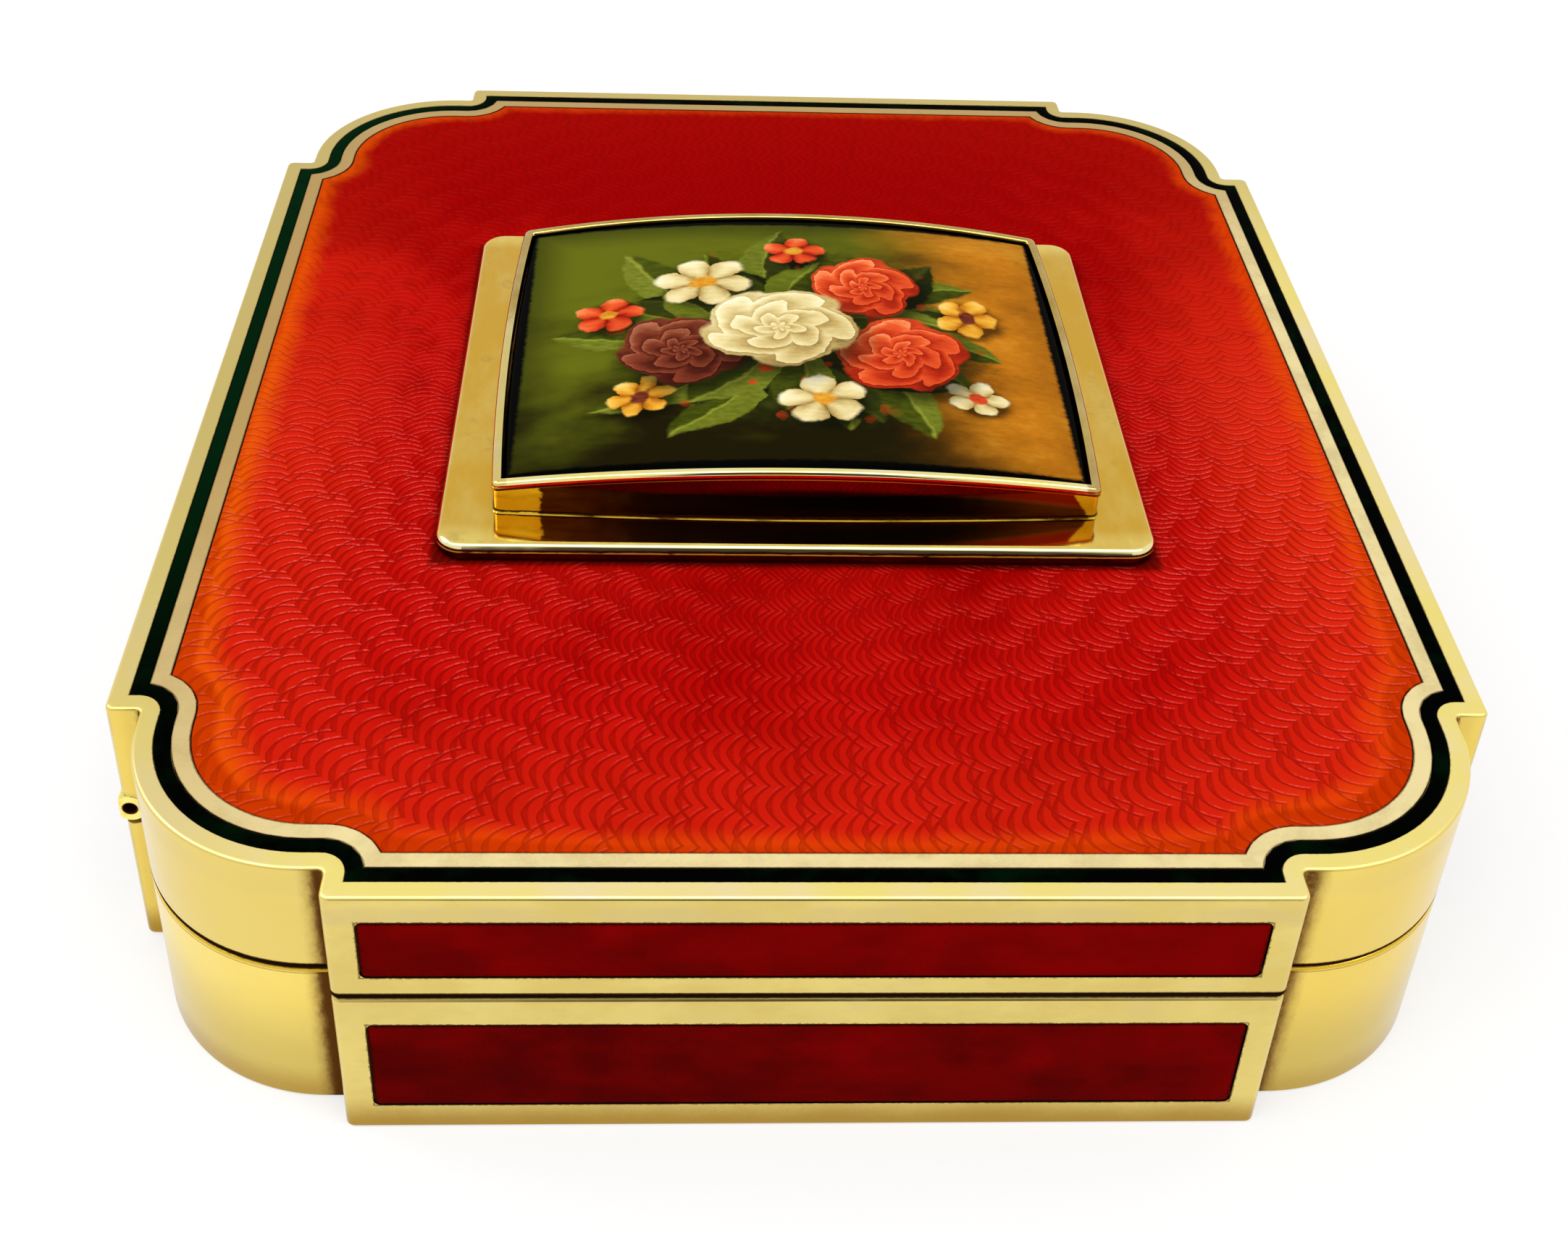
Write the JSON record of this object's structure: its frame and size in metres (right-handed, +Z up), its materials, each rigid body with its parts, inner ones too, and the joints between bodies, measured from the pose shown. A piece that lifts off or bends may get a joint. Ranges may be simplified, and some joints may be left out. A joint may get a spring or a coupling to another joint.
{
  "type": "table box",
  "caption": "Low hinged table box in gilt metal with stepped round corners, red enamel lid and wall panels, and an arched framed plaque on the lid.",
  "frame": {"origin": "centre of the footprint on the underside, at table level", "axes": "+Z up; +Y along the hinge, away from the viewer of the picture; +X from the hinge towards the opening side"},
  "size_m": [0.0942, 0.11, 0.0281],
  "materials": {
    "gilt": "polished",
    "gilt_inside": "satin",
    "pin_wire": "satin",
    "field_enamel": "polished",
    "red_enamel": "polished",
    "dark_enamel": "polished",
    "painted_enamel": "polished"
  },
  "bodies": {
    "base": {"base_wall": "gilt", "base_floor_plate": "gilt_inside", "base_inner_rim": "gilt_inside", "base_front_enamel": "red_enamel", "base_opening_side_enamel": "red_enamel", "base_back_enamel": "red_enamel", "base_hinge_side_enamel": "red_enamel", "base_knuckle_1": "gilt", "base_knuckle_2": "gilt", "base_knuckle_3": "gilt", "base_knuckle_4": "gilt", "hinge_pin": "pin_wire"},
    "lid": {"lid_frame": "gilt", "lid_top_plate": "gilt", "lid_dark_line_enamel": "dark_enamel", "lid_field_enamel": "field_enamel", "lid_front_enamel": "red_enamel", "lid_opening_side_enamel": "red_enamel", "lid_back_enamel": "red_enamel", "lid_hinge_side_enamel": "red_enamel", "lid_knuckle_1": "gilt", "lid_knuckle_2": "gilt", "lid_knuckle_3": "gilt", "lid_knuckle_4": "gilt", "lid_knuckle_5": "gilt", "plaque_mount_plate": "gilt", "plaque_bezel": "gilt", "painted_plaque": "painted_enamel", "mount_stud_1": "gilt_inside", "mount_nut_1": "gilt_inside", "mount_stud_2": "gilt_inside", "mount_nut_2": "gilt_inside", "mount_stud_3": "gilt_inside", "mount_nut_3": "gilt_inside", "mount_stud_4": "gilt_inside", "mount_nut_4": "gilt_inside"}
  },
  "joints": [
    {"name": "lid_hinge", "type": "hinge", "parent": "base", "child": "lid", "pos_m": [-0.0465, 0, 0.0127], "axis": [0, -1, 0], "range_deg": [0, 105]}
  ]
}
